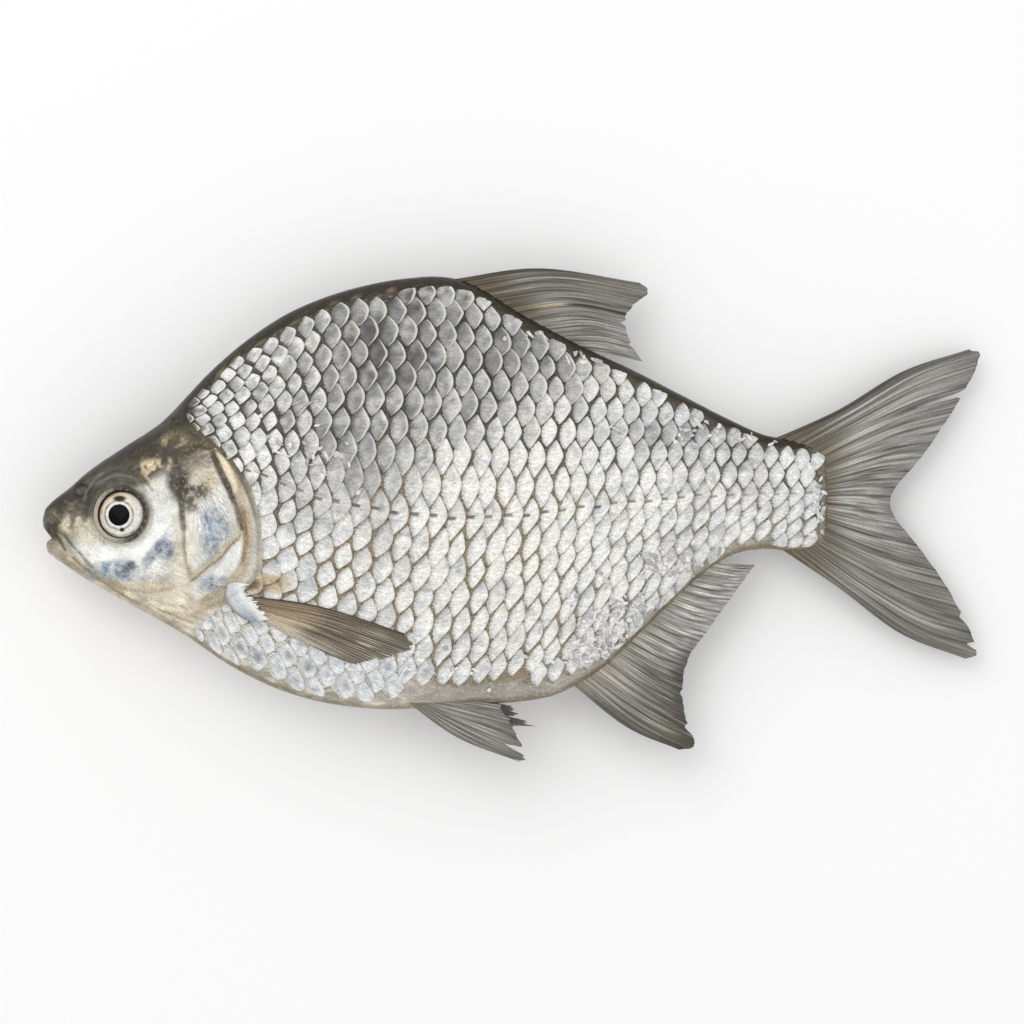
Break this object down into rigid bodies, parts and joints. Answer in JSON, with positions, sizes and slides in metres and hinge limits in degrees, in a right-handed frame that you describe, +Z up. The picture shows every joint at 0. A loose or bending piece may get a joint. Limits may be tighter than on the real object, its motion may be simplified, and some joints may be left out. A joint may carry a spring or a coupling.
{
  "type": "whole raw fish",
  "caption": "Whole raw deep-bodied silver fish lying on its flank, with its head, eyes and fins on, for a dish, a tray or a counter.",
  "frame": {"origin": "middle of the fish's plan, on the surface that it lies on", "axes": "+X from the snout to the tail, +Y from the belly to the back, +Z up through the left flank"},
  "size_m": [0.2826, 0.1482, 0.0377],
  "materials": {
    "skin": "wet silver scales, grey fins",
    "eye": "wet and clear, silver iris round a black pupil"
  },
  "bodies": {
    "root": {"fish": "skin", "eye_left": "eye", "eye_right": "eye"}
  },
  "joints": []
}
